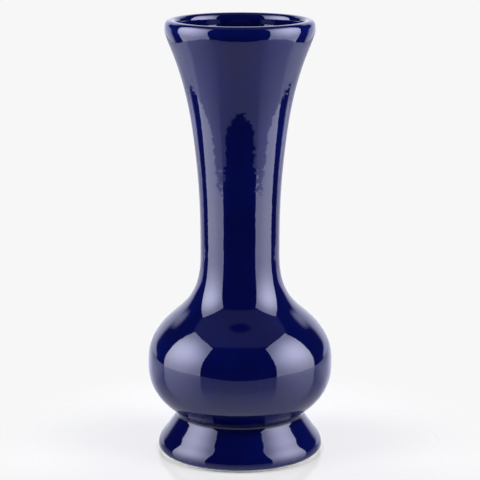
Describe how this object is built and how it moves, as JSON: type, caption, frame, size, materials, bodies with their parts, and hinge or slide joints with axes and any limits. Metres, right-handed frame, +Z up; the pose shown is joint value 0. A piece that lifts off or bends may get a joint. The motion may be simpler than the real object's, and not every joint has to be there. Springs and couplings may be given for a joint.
{
  "type": "bud vase",
  "caption": "Round-bodied vase on a spreading hollow foot, with a slender neck that flares to a small rolled lip, in dark blue gloss-glazed ceramic.",
  "frame": {"origin": "centre of the foot's standing ring, on the surface that the vase stands on", "axes": "+Z up along the axis of revolution; X and Y are alike"},
  "size_m": [0.085, 0.085, 0.2],
  "materials": {
    "clay": "unglazed pale biscuit, matt",
    "slip": "fired slip, matt",
    "glaze": "deep cobalt blue gloss glaze"
  },
  "bodies": {
    "root": {"foot_ring": "clay", "foot_slip_seam": "slip", "bowl_section": "clay", "belly_slip_seam": "slip", "shoulder_section": "clay", "neck_slip_seam": "slip", "neck_section": "clay", "outer_glaze": "glaze", "inner_glaze": "glaze", "base_glaze": "glaze"}
  },
  "joints": []
}
